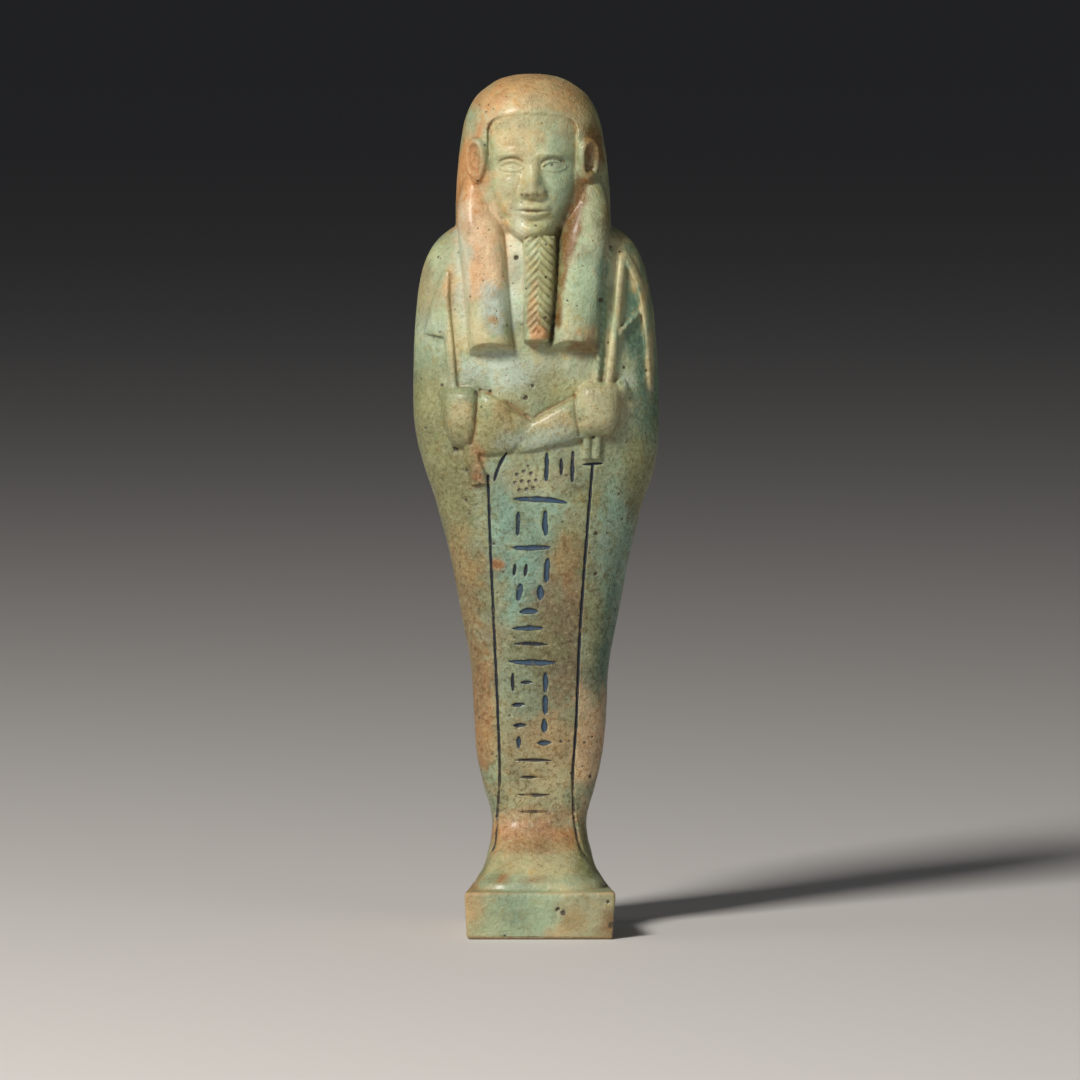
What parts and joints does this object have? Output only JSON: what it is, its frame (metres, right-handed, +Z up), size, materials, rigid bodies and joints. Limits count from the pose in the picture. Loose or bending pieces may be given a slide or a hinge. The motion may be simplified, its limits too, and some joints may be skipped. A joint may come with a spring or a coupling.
{
  "type": "ushabti figurine",
  "caption": "Mummy-shaped funerary figurine with a tripartite wig, plaited beard, crossed arms and hoes, on an integral base with a back pillar.",
  "frame": {"origin": "middle of the flat underside of the base", "axes": "+Z up from the underside to the crown of the wig, -Y out of the figure's face, +X towards the figure's left hand"},
  "size_m": [0.0477, 0.036, 0.166],
  "materials": {
    "faience": "satin"
  },
  "bodies": {
    "root": {"ushabti_figurine": "faience"}
  },
  "joints": []
}
